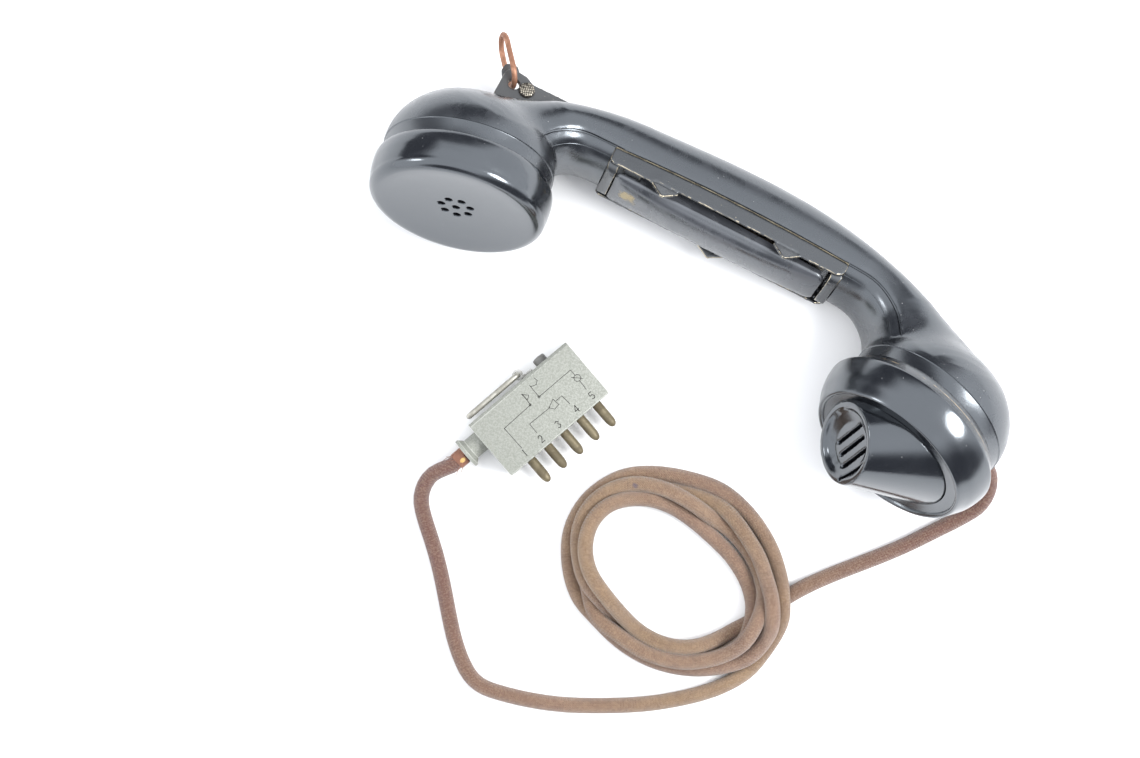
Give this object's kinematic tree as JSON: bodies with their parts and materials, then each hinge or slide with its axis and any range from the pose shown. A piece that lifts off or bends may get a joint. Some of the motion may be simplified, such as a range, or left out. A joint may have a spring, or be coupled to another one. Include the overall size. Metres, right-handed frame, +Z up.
{
  "type": "field telephone handset",
  "caption": "Press-to-talk telephone handset on its side, with barred mouthpiece horn, hanging ring and a coiled textile cord to a flat multi-pin plug.",
  "frame": {"origin": "bottom centre of the handset's bounding box as it lies on its side, on the table surface, with cord and plug left out", "axes": "+X along the handle from the ear cup to the mouth cup, +Y towards the back of the handle, +Z up from the table"},
  "size_m": [0.2434, 0.2035, 0.0644],
  "materials": {
    "bakelite": "polished black phenolic moulding, lightly scratched",
    "bar_enamel": "smooth black enamel, rubbed through at one end",
    "black_paint": "black enamel on sheet steel, worn bright at the edges",
    "capsule_metal": "spun metal capsule, dulled",
    "clip_wire": "plated wire, dulled",
    "contact_brass": "spring brass, tarnished",
    "cord_textile": "tan-brown cotton braid, faded and slightly fuzzy",
    "diaphragm_steel": "blued steel sheet",
    "fibre_brown": "brown laminated paper insulation",
    "pin_brass": "dull olive-brown brass",
    "plain_steel": "plain steel, dulled",
    "plug_zinc": "grey zinc casting, matt and oxidised",
    "rivet_steel": "worn bright steel with paint in the hatching",
    "rubber_black": "black rubber",
    "rusted_wire": "copper-brown rust film on steel wire",
    "screw_steel": "plated steel, dulled",
    "stud_black": "blackened steel",
    "whipping_thread": "orange-brown waxed thread"
  },
  "bodies": {
    "handset": {"handset_body": "bakelite", "ear_cap": "bakelite", "ear_gasket": "rubber_black", "receiver_capsule": "capsule_metal", "receiver_diaphragm": "diaphragm_steel", "receiver_contacts": "contact_brass", "mouth_ring": "bakelite", "mouth_horn": "bakelite", "mouth_gasket": "rubber_black", "microphone_capsule": "capsule_metal", "microphone_contacts": "contact_brass", "switch_frame": "black_paint", "switch_frame_screws": "screw_steel", "talk_bar_pin": "plain_steel", "talk_bar_spring": "plain_steel", "switch_insulator": "fibre_brown", "switch_contact_springs": "contact_brass", "switch_screws": "screw_steel", "hanger_bracket": "black_paint", "hanger_rivet": "rivet_steel", "cord_bush": "rubber_black", "cord_lead": "cord_textile", "cord_coil": "cord_textile", "cord_tail": "cord_textile", "cord_whipping": "whipping_thread", "plug_housing": "plug_zinc", "plug_cover": "plug_zinc", "plug_insulator": "fibre_brown", "plug_pins": "pin_brass", "plug_gland": "plug_zinc", "plug_clip_hook": "plug_zinc", "plug_stud": "stud_black", "plug_screws": "screw_steel"},
    "talk_bar": {"talk_bar": "bar_enamel", "talk_bar_stud": "fibre_brown"},
    "hanger_ring": {"hanger_ring": "rusted_wire"},
    "plug_clip": {"plug_clip": "clip_wire"}
  },
  "joints": [
    {"name": "talk_bar_press", "type": "hinge", "parent": "handset", "child": "talk_bar", "pos_m": [-0.03846, 0.01363, 0.01996], "axis": [-0.0112, 0.4067, 0.9135], "range_deg": [0, 2], "stiffness_Nm_per_rad": 0.6, "springref_deg": -6.88},
    {"name": "hanger_ring_swing", "type": "hinge", "parent": "handset", "child": "hanger_ring", "pos_m": [-0.08921, 0.02357, 0.01492], "axis": [0.0112, -0.4067, -0.9135], "range_deg": [-55, 85]},
    {"name": "plug_clip_swing", "type": "hinge", "parent": "handset", "child": "plug_clip", "pos_m": [-0.03827, -0.06158, 0.007], "axis": [0, 0, 1], "range_deg": [-120, 0]}
  ]
}
